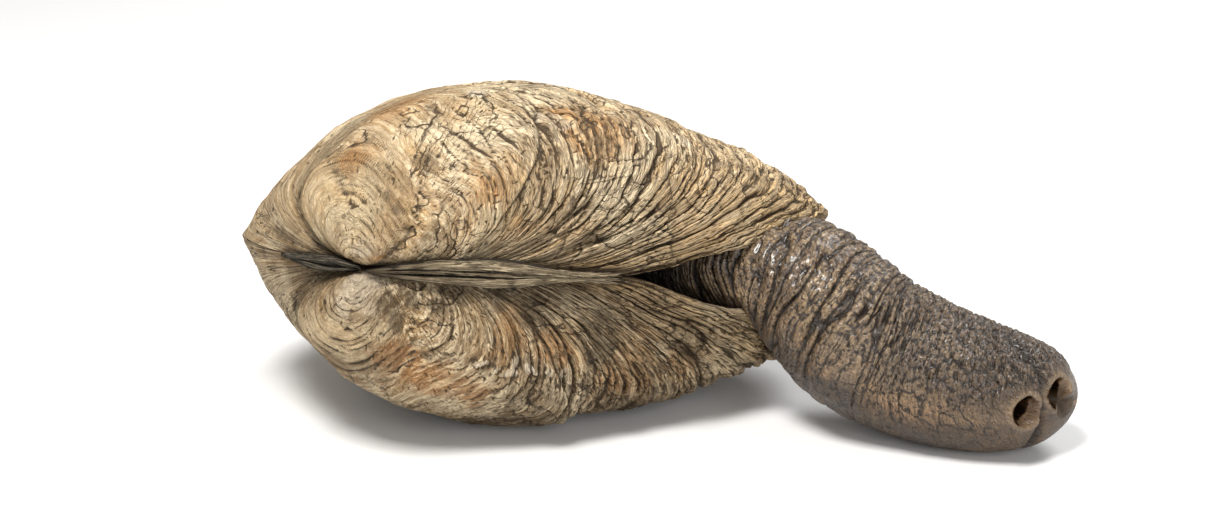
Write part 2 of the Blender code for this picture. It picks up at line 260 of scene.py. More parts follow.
def outward(face):
    """Unit normals of a closed grid of points, from the cross product of its two directions."""
    round_way = np.roll(face, -1, axis=1) - np.roll(face, 1, axis=1)
    return unit(np.cross(np.gradient(face, axis=0), round_way))


def ended(values):
    """Rows of values with the first and the last row repeated."""
    return np.concatenate((values[:1], values, values[-1:]))


def capped(face):
    """Rows of points with the mean of the first row before them and that of the last row after."""
    first, last = [np.repeat(row.mean(axis=1, keepdims=True), face.shape[1], axis=1)
                   for row in (face[:1], face[-1:])]
    return np.concatenate((first, face, last))


def flat_place(along, across):
    """Coordinates of a piece's own for its material: along, across and 0 for each point."""
    along, across = np.broadcast_arrays(along, across)
    return np.stack((along, across, np.zeros(along.shape)), axis=-1).reshape(-1, 3)


def layers_over(points, width, seed, count):
    """Noise over places in space, its largest cells as wide as given."""
    return layers(points[..., 0] / width, points[..., 1] / width, points[..., 2] / width, seed, count)


def blurred(field, rounds):
    """A field on a closed grid, each value replaced by the mean of it and its neighbours, in turn."""
    for _ in range(rounds):
        field = (np.roll(field, 1, axis=1) + np.roll(field, -1, axis=1) + 2.0 * field) / 4.0
        padded = ended(field)
        field = (padded[:-2] + padded[2:] + 2.0 * field) / 4.0
    return field


def grid_faces(rows, columns):
    """Quads of a grid of points, numbered row by row, joined round in the second direction."""
    number = np.arange(rows * columns).reshape(rows, columns)
    number = np.concatenate((number, number[:, :1]), axis=1)
    quads = np.stack((number[:-1, :-1], number[:-1, 1:], number[1:, 1:], number[1:, :-1]), axis=-1)
    return quads.reshape(-1, 4)


def new_piece(name, points, faces, node, material, fields, flip=False):
    """Smooth mesh object from points in millimetres, with its fields as attributes, riding on the
    object and standing for its node."""
    mesh = bpy.data.meshes.new(name)
    loops = faces[:, ::-1] if flip else faces
    mesh.from_pydata((points * MM).tolist(), [], loops.tolist(), shade_flat=False)
    for title, values in fields.items():
        kind, part = ("FLOAT_VECTOR", "vector") if values.ndim == 2 else ("FLOAT", "value")
        layer = mesh.attributes.new(title, kind, "POINT")
        layer.data.foreach_set(part, values.astype(np.float32).ravel())
    work = bmesh.new()
    work.from_mesh(mesh)
    bmesh.ops.remove_doubles(work, verts=work.verts, dist=SAME_PLACE)
    work.to_mesh(mesh)
    work.free()
    mesh.materials.append(material)
    item = bpy.data.objects.new(name, mesh)
    bpy.context.scene.collection.objects.link(item)
    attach(item, "root")
    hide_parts(node)
    return item


class Finish:
    """One material and short calls that add and wire its nodes."""

    def __init__(self, name):
        self.material = bpy.data.materials.new(name)
        self.material.use_nodes = True
        self.nodes = self.material.node_tree.nodes
        self.links = self.material.node_tree.links
        self.shader = self.nodes["Principled BSDF"]
        self.place = self.nodes.new("ShaderNodeTexCoord").outputs["Object"]

    def feed(self, socket, value):
        """Links a socket, or sets it to a plain value."""
        if isinstance(value, bpy.types.NodeSocket):
            self.links.new(value, socket)
        elif isinstance(value, tuple) and len(value) == 3 and socket.type == "RGBA":
            socket.default_value = (*value, 1.0)
        else:
            socket.default_value = value

    def make(self, kind, inputs, output=0, **settings):
        """Adds a node, sets its properties, feeds its inputs and returns one of its outputs."""
        node = self.nodes.new("ShaderNode" + kind)
        for key, value in settings.items():
            setattr(node, key, value)
        for key, value in inputs.items():
            self.feed(node.inputs[key], value)
        return node.outputs[output]

    def field(self, name, output="Fac"):
        return self.make("Attribute", {}, output, attribute_name=name)

    def sum(self, kind, first, second=0.0, third=0.0):
        return self.make("Math", {0: first, 1: second, 2: third}, operation=kind)

    def times(self, first, second):
        return self.sum("MULTIPLY", first, second)

    def plus(self, first, second):
        return self.sum("ADD", first, second)

    def minus(self, first, second):
        return self.sum("SUBTRACT", first, second)

    def line(self, value, slope, start):
        return self.sum("MULTIPLY_ADD", value, slope, start)

    def stretch(self, vector, scale, shift=(0.0, 0.0, 0.0)):
        return self.make("Mapping", {"Vector": vector, "Scale": scale, "Location": shift})

    def vector(self, kind, first, second):
        return self.make("VectorMath", {0: first, 1: second}, operation=kind)

    def moved(self, vector, shift, *scale):
        """A vector with a scaled shift added."""
        return self.vector("ADD", vector, self.stretch(shift, scale))

    def noise(self, vector, scale, detail=4.0, roughness=0.55, output=0):
        inputs = {"Vector": vector, "Scale": scale, "Detail": detail, "Roughness": roughness}
        return self.make("TexNoise", inputs, output)

    def wander(self, vector, scale, roughness):
        """A noise vector with its middle at 0."""
        noise = self.noise(vector, scale, 3.0, roughness, output=1)
        return self.vector("SUBTRACT", noise, (0.5, 0.5, 0.5))

    def streaks(self, vector, along, across, detail, roughness, shift_along=0.0, shift_across=0.0):
        """Noise over a piece's own flat coordinates, with its own scale along and across."""
        flat = self.stretch(vector, (along, across, 0.0), (shift_along, shift_across, 0.0))
        return self.noise(flat, 1.0, detail, roughness)

    def valley(self, noise):
        """How far noise lies from its middle, from 0 to 1: thin lines where it crosses it."""
        return self.sum("ABSOLUTE", self.line(noise, 2.0, -1.0))

    def cells(self, vector, scale, feature="DISTANCE_TO_EDGE"):
        return self.make("TexVoronoi", {"Vector": vector, "Scale": scale}, "Distance", feature=feature)

    def step(self, value, low, high, start=0.0, end=1.0):
        inputs = {"Value": value, "From Min": low, "From Max": high, "To Min": start, "To Max": end}
        return self.make("MapRange", inputs, interpolation_type="SMOOTHSTEP")

    def ramp(self, value, *stops):
        node = self.nodes.new("ShaderNodeValToRGB")
        self.feed(node.inputs[0], value)
        ramp = node.color_ramp
        while len(ramp.elements) < len(stops):
            ramp.elements.new(0.5)
        for element, (place, colour) in zip(ramp.elements, stops):
            element.position = place
            element.color = (*colour, 1.0)
        return node.outputs[0]

    def mix(self, share, first, second, kind="MIX"):
        inputs = {"Factor": share, 6: first, 7: second}
        return self.make("Mix", inputs, 2, data_type="RGBA", blend_type=kind)

    def paint(self, base, colour, value, low, high, share):
        """The base with a colour over it, none at a value of low and its full share at high."""
        return self.mix(self.step(value, low, high, 0.0, share), base, colour)

    def cover(self, base, colour, part, share):
        """The base with a colour over it where a part is, at the given share."""
        return self.mix(self.times(part, share), base, colour)

    def bump(self, height, strength, distance):
        return self.make("Bump", {"Height": height, "Strength": strength, "Distance": distance})

    def done(self, colour, roughness, normal):
        self.feed(self.shader.inputs["Base Color"], colour)
        self.feed(self.shader.inputs["Roughness"], roughness)
        self.feed(self.shader.inputs["Normal"], normal)
        return self.material


def dimmed(colour, share):
    """A colour with each part multiplied by a share."""
    return tuple(share * part for part in colour)


def shell_finish(name, seed, tan, cream, gold, ochre, brown, dark):
    """Chalky worn shell: tan and cream clouds, streaks along the growth lines, ochre and brown
    stains with ragged borders, painted shade in the crevices and furrows and over the inside, painted
    highlight on the crests, painted shade low down on the lower valve, plates with dark broken edges,
    cracks, pits."""
    f = Finish(name)
    lay = f.field("lay", "Vector")
    dip = f.field("dip")
    behind = f.field("behind")
    place = f.stretch(f.place, (1.0, 1.0, 1.0), (seed * 0.37, seed * 0.21, seed * 0.11))
    sway = f.wander(place, 95.0, 0.55)
    shake = f.wander(place, 420.0, 0.6)
    flow = f.moved(lay, sway, 6.0, 5.0, 0.0)
    flow = f.moved(flow, shake, 1.5, 1.1, 0.0)
    broad = f.streaks(flow, 0.012, 0.16, 3.0, 0.55)
    streak = f.streaks(flow, 0.030, 0.62, 4.0, 0.6)
    hair = f.streaks(flow, 0.09, 2.1, 3.0, 0.6)
    rope = f.valley(f.streaks(flow, 0.040, 0.85, 2.0, 0.5, 7.3, 1.9))
    thread = f.valley(f.streaks(flow, 0.075, 1.9, 2.0, 0.5, 2.3, 5.9))
    cloud = f.noise(place, 42.0, 5.0, 0.62)

    dome = f.field("dome")
    base = f.ramp(cloud, (0.32, brown), (0.40, tan), (0.50, tan), (0.60, cream))
    stain = f.noise(f.moved(place, shake, 0.005, 0.005, 0.005), 34.0, 6.0, 0.72)
    warm = f.plus(f.field("ochre"), f.times(f.minus(stain, 0.5), 2.2))
    base = f.paint(base, ochre, warm, 0.15, 0.75, 0.88)
    blot = f.noise(f.stretch(place, (1.0, 1.0, 1.0), (3.1, 1.7, 5.3)), 80.0, 7.0, 0.75)
    old = f.plus(f.field("stain"), f.times(f.minus(blot, 0.5), 2.8))
    base = f.paint(base, dimmed(brown, 0.55), old, 0.32, 0.85, 0.90)
    base = f.paint(base, dimmed(tan, 0.62), broad, 0.44, 0.62, 0.40)
    base = f.paint(base, gold, broad, 0.50, 0.36, 0.45)
    rough_skin = f.line(dome, -0.55, 1.0)
    base = f.mix(f.times(f.step(streak, 0.54, 0.38, 0.0, 0.66), rough_skin), base, cream)
    base = f.mix(f.times(f.field("gold"), f.step(streak, 0.42, 0.56, 0.75, 0.1)), base, gold)
    base = f.mix(f.times(f.step(streak, 0.55, 0.68, 0.0, 0.66), rough_skin), base, brown)
    base = f.mix(f.times(f.step(hair, 0.54, 0.66, 0.0, 0.60), rough_skin), base, dimmed(brown, 0.7))
    chalk = f.plus(f.field("chalk"), f.times(f.minus(blot, 0.5), -2.0))
    base = f.paint(base, (0.70, 0.61, 0.485), chalk, 0.35, 0.95, 0.80)

    # Painted shade: thin dark lines in the furrows between the growth ropes, towards the back
    furrow = f.times(f.step(rope, 0.11, 0.01), f.step(behind, 0.10, 0.75))
    base = f.cover(base, dark, furrow, 0.85)
    scratch = f.times(f.step(thread, 0.11, 0.0), f.step(streak, 0.42, 0.60, 0.10, 1.0))
    base = f.cover(base, dimmed(dark, 2.0), scratch, 0.65)
    base = f.mix(dome, base, (0.72, 0.69, 0.64), "MULTIPLY")
    # Painted shade: darker where the surface lies below its smoothed neighbours, in crevices and
    # hollows
    base = f.paint(base, dark, dip, 0.24, 0.90, 0.94)
    # Painted highlight: cream on the crests that stand above their neighbours, stronger towards the
    # back
    crest = f.line(behind, 0.34, 0.58)
    base = f.mix(f.times(f.step(dip, 0.10, -0.25), crest), base, cream)
    base = f.paint(base, dimmed(brown, 0.50), old, 0.50, 1.00, 0.65)
    base = f.mix(f.step(warm, 0.10, 1.00, 0.0, 0.50), base, (0.96, 0.76, 0.52), "MULTIPLY")

    split_noise = f.noise(place, 38.0, 4.0, 0.6)
    net = f.cells(f.moved(f.stretch(lay, (0.15, 0.12, 0.0)), shake, 0.9, 0.9, 0.0), 1.0)
    net = f.times(f.step(net, 0.034, 0.006), f.step(split_noise, 0.53, 0.60))
    net = f.times(net, f.line(dome, -0.85, 1.0))
    base = f.cover(base, dark, net, 0.9)
    gap = f.sum("ABSOLUTE", f.minus(f.sum("FRACT", f.field("level")), 0.5))
    ledge = f.times(f.step(gap, 0.455, 0.492), f.field("plated"))
    base = f.cover(base, dark, ledge, 0.85)
    pit_far = f.cells(f.moved(place, shake, 0.0008, 0.0008, 0.0008), 330.0, "F1")
    pit = f.times(f.step(pit_far, 0.30, 0.12), f.step(f.noise(place, 75.0, 3.0), 0.52, 0.62))
    base = f.cover(base, dark, pit, 0.85)
    grain = f.noise(place, 1100.0, 4.0, 0.7)
    base = f.paint(base, dimmed(tan, 0.45), grain, 0.62, 0.35, 0.30)
    base = f.paint(base, cream, grain, 0.52, 0.75, 0.25)
    # Painted shade: the lower valve darker towards the ground, in patches
    ground_shade = f.times(f.field("ground_shade"), f.step(blot, 0.30, 0.62, 1.0, 0.55))
    base = f.mix(ground_shade, base, dimmed(brown, 0.30))

    height = f.times(f.step(rope, 0.0, 0.34), f.step(behind, 0.0, 0.8, 0.12, 1.0))
    for part, share in ((f.step(thread, 0.0, 0.30), 0.32), (streak, 0.9), (hair, 0.35), (grain, 0.16)):
        height = f.plus(height, f.times(part, share))
    for part, share in ((net, 0.7), (ledge, 0.6), (pit, 0.6)):
        height = f.minus(height, f.times(part, share))
    # Painted shade: the inside of the valves, really pale porcelain, is coloured dark brown-grey as if
    # in shadow
    inside = f.step(f.field("inside"), 0.35, 0.65)
    pale = f.ramp(f.noise(place, 50.0, 4.0), (0.35, (0.13, 0.09, 0.065)), (0.65, (0.34, 0.27, 0.21)))
    base = f.mix(inside, base, pale)
    height = f.times(height, f.minus(1.0, f.times(inside, 0.85)))
    rough = f.step(streak, 0.3, 0.7, 0.66, 0.9)
    f.shader.inputs["Specular IOR Level"].default_value = 0.25
    return f.done(base, rough, f.bump(height, 0.85, 0.0010))


def siphon_finish():
    """Wet wrinkled skin: grey-brown with tan clouds, painted shade in its furrows, creases, hollows,
    mouths and underside, painted highlight on its raised skin, speckled low down, and glossy where it
    leaves the shell."""
    f = Finish("siphon_skin")
    lay = f.field("lay", "Vector")
    dip = f.field("dip")
    top = f.field("top")
    shake = f.wander(f.place, 400.0, 0.6)
    flow = f.moved(lay, shake, 1.6, 1.6, 0.0)
    cloud = f.noise(f.place, 60.0, 5.0, 0.62)
    base = f.ramp(cloud, (0.34, (0.085, 0.053, 0.027)), (0.47, (0.190, 0.126, 0.068)),
                  (0.62, (0.310, 0.216, 0.120)))
    grey = f.noise(f.stretch(f.place, (1.0, 1.0, 1.0), (2.2, 0.4, 1.9)), 36.0, 5.0)
    base = f.paint(base, (0.21, 0.158, 0.105), grey, 0.47, 0.62, 0.50)
    # Painted shade: the underside darker
    base = f.mix(f.step(f.field("low"), -0.1, 0.5), base, (0.33, 0.285, 0.215), "MULTIPLY")
    warm = f.times(f.field("warm"), f.step(cloud, 0.42, 0.55))
    base = f.cover(base, (0.27, 0.155, 0.075), warm, 0.6)
    # The brown field: the top of the end's own dark brown, and painted shadow beside the cleft between
    # the mouths
    brown = f.times(f.field("brown"), f.step(grey, 0.36, 0.60, 0.92, 0.45))
    base = f.mix(brown, base, (0.066, 0.042, 0.023))
    bead = f.field("bead")
    # Painted shade: dark in the gaps between the bumps on the top
    base = f.mix(f.times(f.step(bead, 0.22, 0.04), f.times(top, 0.85)), base, (0.030, 0.018, 0.011))
    # Painted highlight: paler on the raised skin
    base = f.paint(base, (0.46, 0.35, 0.225), dip, -0.02, -0.50, 0.74)
    # Painted shade: thin dark lines at the bottoms of the wrinkles and small creases
    wrinkle = f.valley(f.streaks(flow, 0.62, 0.16, 2.0, 0.5))
    base = f.cover(base, (0.05, 0.030, 0.019), f.step(wrinkle, 0.10, 0.0), 0.6)
    small = f.valley(f.streaks(flow, 0.75, 0.55, 2.0, 0.5, 4.0, 9.0))
    base = f.cover(base, (0.06, 0.036, 0.023), f.step(small, 0.09, 0.0), 0.5)
    # Painted shade: dark lines in the web of creases, less on the underside
    web = f.sum("ABSOLUTE", f.field("web"))
    web_line = f.times(f.step(web, 0.075, 0.0, 0.0, 0.6), f.line(f.field("low"), -0.8, 1.0))
    base = f.mix(web_line, base, (0.04, 0.024, 0.015))
    dash = f.streaks(flow, 1.15, 0.42, 3.0, 0.6, 11.0, 3.0)
    dash = f.times(f.step(dash, 0.565, 0.625), f.step(grey, 0.40, 0.50, 0.45, 1.0))
    base = f.cover(base, (0.022, 0.013, 0.008), dash, 0.85)
    # Painted shade: dark lines in the furrows between the folds
    fold = f.sum("ABSOLUTE", f.field("fold"))
    line = f.times(f.step(fold, 0.10, 0.01), f.step(f.field("fold_share"), 0.15, 0.7))
    base = f.cover(base, (0.020, 0.011, 0.006), line, 0.92)
    # Painted shade: dark in the hollows and in the cleft between the mouths
    base = f.paint(base, (0.020, 0.012, 0.007), dip, 0.05, 0.60, 0.94)
    spot_far = f.cells(f.moved(f.stretch(lay, (0.50, 0.70, 0.0)), shake, 0.9, 0.9, 0.0), 1.0, "F1")
    spot = f.times(f.step(spot_far, 0.33, 0.16), f.step(grey, 0.36, 0.46))
    base = f.cover(base, (0.018, 0.010, 0.006), spot, 0.88)
    rim = f.field("rim")
    rim_share = f.times(f.step(rim, 0.10, 0.9), f.step(grey, 0.38, 0.58, 0.40, 0.85))
    base = f.mix(rim_share, base, (0.25, 0.170, 0.098))
    lip = f.ramp(cloud, (0.4, (0.070, 0.036, 0.014)), (0.6, (0.165, 0.092, 0.038)))
    base = f.mix(f.field("lip"), base, lip)
    # Painted shade: near black inside the mouths' bores
    base = f.mix(f.field("deep"), base, (0.006, 0.003, 0.002))
    base = f.mix(f.times(f.field("shade"), 0.93), base, (0.012, 0.008, 0.006))
    grain = f.noise(f.place, 1500.0, 3.0, 0.6)
    height = f.plus(f.times(f.step(wrinkle, 0.0, 0.3), 0.55), f.times(f.step(small, 0.0, 0.3), 0.45))
    height = f.plus(height, f.times(f.step(fold, 0.0, 0.2), 0.5))
    height = f.plus(height, f.times(grain, 0.15))
    height = f.minus(height, f.times(spot, 0.5))
    wet = f.field("wet")
    rough = f.minus(f.step(cloud, 0.3, 0.7, 0.38, 0.58), f.times(wet, 0.18))
    hidden = f.step(f.field("deep"), 0.0, 0.6, 1.0, 0.0)
    f.feed(f.shader.inputs["Specular IOR Level"], f.times(hidden, 0.5))
    f.shader.inputs["Subsurface Weight"].default_value = 0.05
    f.shader.inputs["Subsurface Scale"].default_value = 0.002
    f.feed(f.shader.inputs["Coat Weight"], f.times(f.line(wet, 0.40, 0.10), hidden))
    f.shader.inputs["Coat Roughness"].default_value = 0.14
    return f.done(base, rough, f.bump(height, 0.8, 0.0009))


def fibre_finish(name, dark, middle, light):
    """Dry fibres: long thin streaks along the strand, painted shade where they part, in worn
    hollows and along the strand's top and bottom edges.
    """
    f = Finish(name)
    lay = f.field("lay", "Vector")
    streak = f.streaks(lay, 0.12, 1.9, 4.0, 0.62)
    hair = f.valley(f.streaks(lay, 0.07, 2.8, 2.0, 0.5, 3.0, 7.0))
    cloud = f.noise(f.place, 260.0, 4.0, 0.6)
    base = f.ramp(streak, (0.36, dark), (0.48, middle), (0.60, light))
    base = f.paint(base, dimmed(dark, 0.9), cloud, 0.48, 0.66, 0.55)
    base = f.paint(base, dimmed(dark, 0.35), hair, 0.12, 0.0, 0.80)
    base = f.mix(f.times(f.field("early"), 0.8), base, dimmed(dark, 0.6))
    # Painted shade: dark along the strand's top and bottom edges, in worn hollows and between fibres
    base = f.paint(base, dimmed(dark, 0.10), f.field("dip"), 0.15, 0.70, 0.97)
    f.shader.inputs["Specular IOR Level"].default_value = 0.25
    height = f.plus(streak, f.times(f.step(hair, 0.0, 0.3), 0.5))
    return f.done(base, f.step(streak, 0.3, 0.7, 0.6, 0.85), f.bump(height, 0.9, 0.0006))


def patches(face, table):
    """Patches from 0 to 1: the strongest of the bell curves round the given places, each place's
    distance stretched and bent by noise."""
    field = np.zeros(face.shape[:2])
    x, y, z = face[..., 0] / 7.0, face[..., 1] / 7.0, face[..., 2] / 7.0
    bend = np.stack([layers(x, y, z, 700 + part, 3) - 0.5 for part in range(3)], axis=-1) * 7.0
    for x, y, z, radius, weight in table:
        far = np.linalg.norm(face + bend - (x, y, z), axis=2) / radius
        field = np.maximum(field, weight * np.exp(-far**2))
    return field


def creased(noise, width):
    """Flat tops parted by narrow furrows where the noise crosses its middle."""
    return 1.0 - np.exp(-np.abs(2.0 * noise - 1.0) / width)


DOME_MIDDLE = (-5.0, 15.0)
DOME_EDGE = (
    (-180, 15.4), (-165, 15), (-142, 13.9), (-119, 12.6), (-94, 13.2), (-78, 14.8), (-66, 14.8),
    (-45, 12.7), (-21, 13.6), (0, 14.5), (17, 16.4), (40, 17), (65, 15.4), (90, 14.5), (125, 14.2),
    (153, 15.5), (180, 15.4),
)


def dome_reach(face):
    """How far out each point lies from the middle of the beak's dome, as a share of the way to the
    dome's foot, which is a rounded triangle with its tip at the beak; large on the far side."""
    along = face[..., 0] - DOME_MIDDLE[0]
    out = face[..., 2] - DOME_MIDDLE[1]
    turn = np.degrees(np.arctan2(out, along))
    edge = np.interp(turn, *zip(*DOME_EDGE))
    return np.hypot(along, out) / edge + 3.0 * ease(13.0, 26.0, face[..., 1]), turn


def ring_place(around, growth):
    """Growth coordinate whose rings run round the beak's dome: over the front of the valve the
    early lines are spread out over the dome and the next ones crowd at its foot."""
    share = ease(205.0, 350.0, around) * ease(400.0, 385.0, around)
    crowd = 0.36 * growth + (growth - 0.36 * growth) * ease(63.0, 77.0, growth)
    return growth + share * (crowd - growth)


def valve(name, node, material, gape, side, seed, scarp, marks, dome_height, tip_height):
    """One valve as a single skin: the outer face grown from the beak, carried round a rounded edge
    into the hollow. The outer face stands out by ropy growth ridges, stepped plates, lumps and the
    dome at the beak, and goes in at furrows, cracks and pits."""
    fine_edge = curve_through(EDGE, 2001)
    run = run_along(fine_edge)
    spacing = 1.0 / (1.0 + 0.8 * (1.0 - ease(30.0, 60.0, run) * ease(275.0, 245.0, run)))
    warp = np.concatenate(([0.0], np.cumsum((spacing[1:] + spacing[:-1]) * np.diff(run) / 2.0)))
    around = np.interp(np.linspace(0.0, warp[-1], COLUMNS + 1)[:-1], warp, run)
    edge = np.stack([np.interp(around, run, part) for part in fine_edge.T], axis=1)
    edge[:, 2] = np.maximum(edge[:, 2], 0.0) * gape
    size = np.linspace(FIRST_SIZE, 1.0, OUTER_ROWS)
    growth = size[:, None] * GROWTH_LENGTH
    back_end = ease(60.0, 100.0, edge[:, 0])
    tear = (layers(around / 5.0, 0.0, 0.0, seed + 90, 4) - 0.58) * back_end
    lived = size[:, None] - 0.030 * tear[None] * ease(0.86, 1.0, size[:, None])
    face = grown(edge, lived)
    face[..., 2] = np.maximum(face[..., 2], HALF_GAP)
    x, y, z = face[..., 0], face[..., 1], face[..., 2]
    normal = outward(face)
    behind = ease(4.0, 58.0, x) * ease(0.0, 1.0, 1.25 - 0.25 * y / 60.0)
    from_beak = np.linalg.norm(face, axis=2)
    lane = around[None] + 0.0 * growth
    ring = ring_place(lane, growth)
    crowd = ease(230.0, 320.0, lane) * ease(400.0, 385.0, lane)
    crowd = crowd * ease(58.0, 66.0, growth) * ease(84.0, 76.0, growth)
    reach, turn = dome_reach(face)
    dome = ease(1.05, 0.90, reach)
    calm = (1.0 - 0.85 * crowd) * (1.0 - 0.6 * dome)

    sway = 8.0 * (layers_over(face, 24.0, seed + 1, 3) - 0.5)
    sway += 3.0 * (layers_over(face, 6.5, seed + 2, 3) - 0.5)
    ropes_big = layers(lane / 75.0, (ring + sway) / 3.4, 0.0, seed + 4, 2)
    ropes_small = layers(lane / 40.0, (ring + 0.8 * sway) / 1.5, 0.0, seed + 3, 2)
    broad = layers(lane / 90.0, (ring + 0.6 * sway) / 8.0, 0.0, seed + 5, 2)
    strength = layers_over(face, 17.0, seed + 9, 2)
    level = layers_over(face, 21.0, seed + 6, 5) * 6.5 + 0.05 * (ring + sway)
    part = level - np.floor(level)
    terrace = np.floor(level) + ease(0.0, 0.10, part)
    plated = ease(0.42, 0.54, strength) * ease(6.0, 14.0, from_beak) * calm * (1.0 - dome)
    plated *= ease(-24.0, -8.0, x)
    lumps = layers_over(face, 13.0, seed + 7, 4) - 0.5
    near, _, own = cells(lane / 5.0 + 0.2 * sway, ring / 4.5, seed + 8)
    pits = ease(0.20, 0.06, near) * (own > 0.70)

    deep_here = 0.5 + 1.3 * ease(0.35, 0.6, strength)
    height = (creased(ropes_big, 0.09) - 0.7) * (0.10 + 1.45 * behind) * deep_here
    height += (creased(ropes_small, 0.14) - 0.6) * (0.18 + 0.55 * behind)
    height += (broad - 0.5) * (0.9 + 1.2 * behind)
    height += (terrace - level) * 0.50 * plated
    height += lumps * 1.7
    height -= pits * 0.6
    height *= calm
    scarp_at = np.interp(lane, *zip(*scarp))
    past = growth - scarp_at + 0.35 * sway
    on_scarp = ease(60.0, 95.0, lane) * ease(262.0, 225.0, lane)
    height += 1.2 * on_scarp * ease(0.8, -0.1, past) * ease(-16.0, -4.0, past)
    flake = patches(face, marks["flake"]) + 0.45 * (layers_over(face, 4.5, seed + 15, 3) - 0.5)
    flake = ease(0.46, 0.58, flake)
    height += 0.5 * flake
    clear = 1.0 - 0.75 * ease(15.0, 45.0, turn) * ease(150.0, 120.0, turn)
    foot = np.exp(-((reach - 1.10 + 0.012 * sway) / 0.09) ** 2)
    height += (dome_height * dome - 0.9 * foot) * clear
    height -= 0.5 * crowd
    rings = creased(layers(lane / 60.0, (ring + 0.12 * sway) / 1.1, 0.0, seed + 12, 2), 0.25) - 0.5
    height += rings * 0.46 * np.maximum(dome, crowd)
    height *= ease(1.0, 9.0, from_beak)
    thick = np.exp(-((lane - 150.0) / 45.0) ** 2) * ease(88.0, 128.0, growth)
    tip_layers = layers(lane / 30.0, (growth + 0.5 * sway) / 2.2, 0.0, seed + 14, 2)
    height += (tip_height + 1.1 * (creased(tip_layers, 0.12) - 0.6)) * thick
    height = np.clip(height, -2.2, 3.0)
    outer = face + normal * height[..., None]
    outer[..., 2] = np.maximum(outer[..., 2], HALF_GAP)
    # dip: painted shade where the surface lies below its smoothed neighbours, painted highlight where
    # it stands above
    dip = (blurred(height, 3) - height) / 0.22 + (blurred(height, 26) - height) / 0.9
    dip = np.clip(dip * ease(2.0, 8.0, from_beak), -1.0, 1.0)
    # Painted shade along the hinge groove beside the ligament
    hinge = ease(-30.0, -22.0, x) * ease(80.0, 62.0, x)
    hinge = ease(3.4, 0.6, z) * hinge * (y < 14.0)
    # Painted shade in patches in the groove at the dome's foot
    foot_groove_shade = foot * clear * ease(0.35, 0.6, layers_over(face, 5.0, seed + 20, 3))
    dip = np.maximum(dip, np.maximum(0.85 * hinge, 0.7 * foot_groove_shade))
    # Painted shadow along the foot of the scarp
    dip = np.maximum(dip, 0.75 * on_scarp * np.exp(-((past - 0.9) / 0.5) ** 2))

    inner_size = np.linspace(1.0, 0.30, INNER_ROWS)[:, None]
    tear_in = 0.030 * tear[None] * ease(0.86, 1.0, inner_size)
    inner = HOLLOW_MIDDLE + (grown(edge, inner_size - tear_in) - HOLLOW_MIDDLE) * HOLLOW_SCALE
    end_on = ease(88.0, 108.0, edge[:, 0])
    inner[..., 2] -= 2.6 * end_on[None] * ease(0.70, 0.97, inner_size)
    inner[..., 2] = np.maximum(inner[..., 2], HALF_GAP)
    rim = []
    for share in RIM_SHARES:
        swollen = outer[-1] * (1.0 - share) + inner[0] * share
        away = unit(swollen - RIM_MIDDLE)
        ragged = layers(around / 2.4, share * 4.0, 0.0, seed + 95, 3) - 0.5
        bulge = math.sin(share * math.pi) * (0.6 + 0.8 * end_on) + 1.6 * ragged * end_on
        bulge = bulge * ease(60.0, 90.0, edge[:, 0])
        rim.append(swollen + away * bulge[:, None])
    rim = np.array(rim)
    rim[..., 2] = np.maximum(rim[..., 2], HALF_GAP)
    rows = capped(np.concatenate((outer, rim, inner)))
    count = len(rows)
    points = lie((rows * (1.0, 1.0, side)).reshape(-1, 3))
    points[:, 2] = np.maximum(points[:, 2], 0.02)

    def spread(values, rim_value=0.0, inner_value=0.0):
        field = np.full((count, COLUMNS), float(inner_value))
        field[1:OUTER_ROWS + 1] = values
        field[0] = values[0]
        field[OUTER_ROWS + 1:OUTER_ROWS + 1 + len(RIM_SHARES)] = rim_value
        return field.ravel()

    row_place = np.zeros((count, COLUMNS))
    row_place[1:OUTER_ROWS + 1] = ring
    row_place[OUTER_ROWS + 1:] = GROWTH_LENGTH + np.arange(count - OUTER_ROWS - 1)[:, None] * 0.8
    fields = {
        "lay": flat_place(around, row_place),
        "dip": spread(dip, 0.1, 0.0),
        "behind": spread(behind, 1.0, 0.0),
        "level": spread(level, 0.5, 0.5),
        "plated": spread(plated),
        "ochre": spread(1.4 * patches(face, marks["ochre"])),
        "stain": spread(patches(face, marks["stain"]), 0.4, 0.0),
        "chalk": spread(np.maximum(patches(face, marks["chalk"]), 0.75 * flake)),
        # painted shade: the lower valve darker towards the ground
        "ground_shade": ease(24.0, 4.0, points[:, 2]) * (0.85 if side < 0.0 else 0.0),
        "dome": spread(dome),
        "gold": spread(ease(95.0, 122.0, growth) * behind, 0.6, 0.0),
        "inside": spread(np.zeros_like(x), 0.4, 1.0),
    }
    faces = grid_faces(count, COLUMNS)
    return new_piece(name, points, faces, node, material, fields, flip=side > 0.0)


